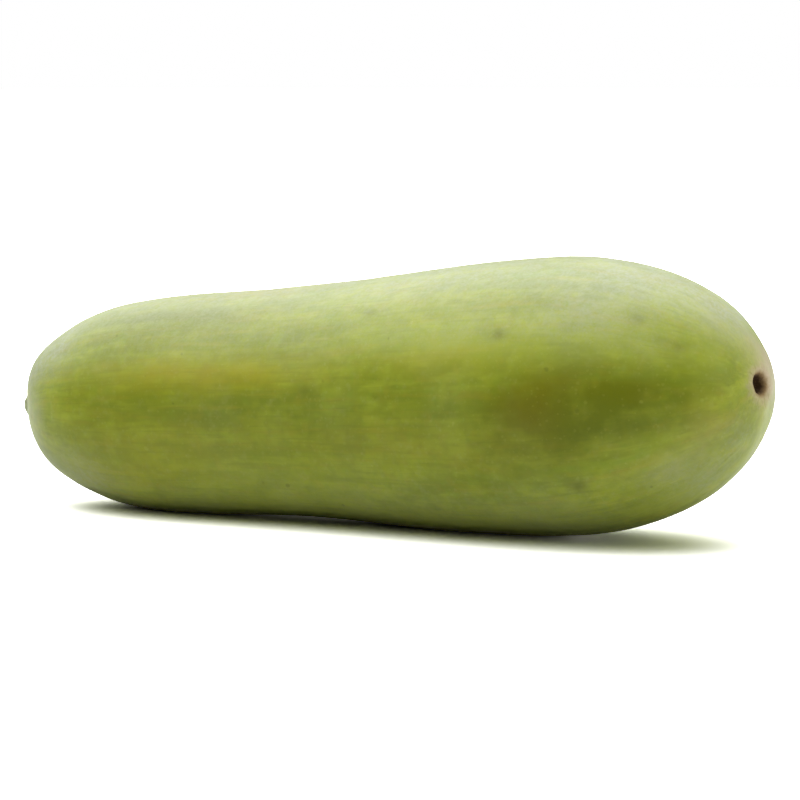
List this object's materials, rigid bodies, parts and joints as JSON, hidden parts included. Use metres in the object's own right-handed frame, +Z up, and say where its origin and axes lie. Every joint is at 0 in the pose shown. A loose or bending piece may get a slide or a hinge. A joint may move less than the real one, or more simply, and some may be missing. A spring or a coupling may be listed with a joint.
{
  "type": "wax gourd",
  "caption": "Whole wax gourd lying on its side, a narrow tail swelling to a broad end, with a short trimmed stem stub and a sunken blossom scar.",
  "frame": {"origin": "on the ground, under the middle of the gourd's bounding box", "axes": "+Z up from the ground; +X along the gourd, from the stem stub on the narrow tail to the blossom scar on the broad end; -Y is the side towards which the scar lies off the axis"},
  "size_m": [0.3736, 0.119, 0.1214],
  "materials": {
    "rind": "yellow-green waxy rind, satin under a thin pale bloom, finely speckled, with a corky tan ring and a dark brown pit at the blossom scar"
  },
  "bodies": {
    "root": {"wax_gourd": "rind"}
  },
  "joints": []
}
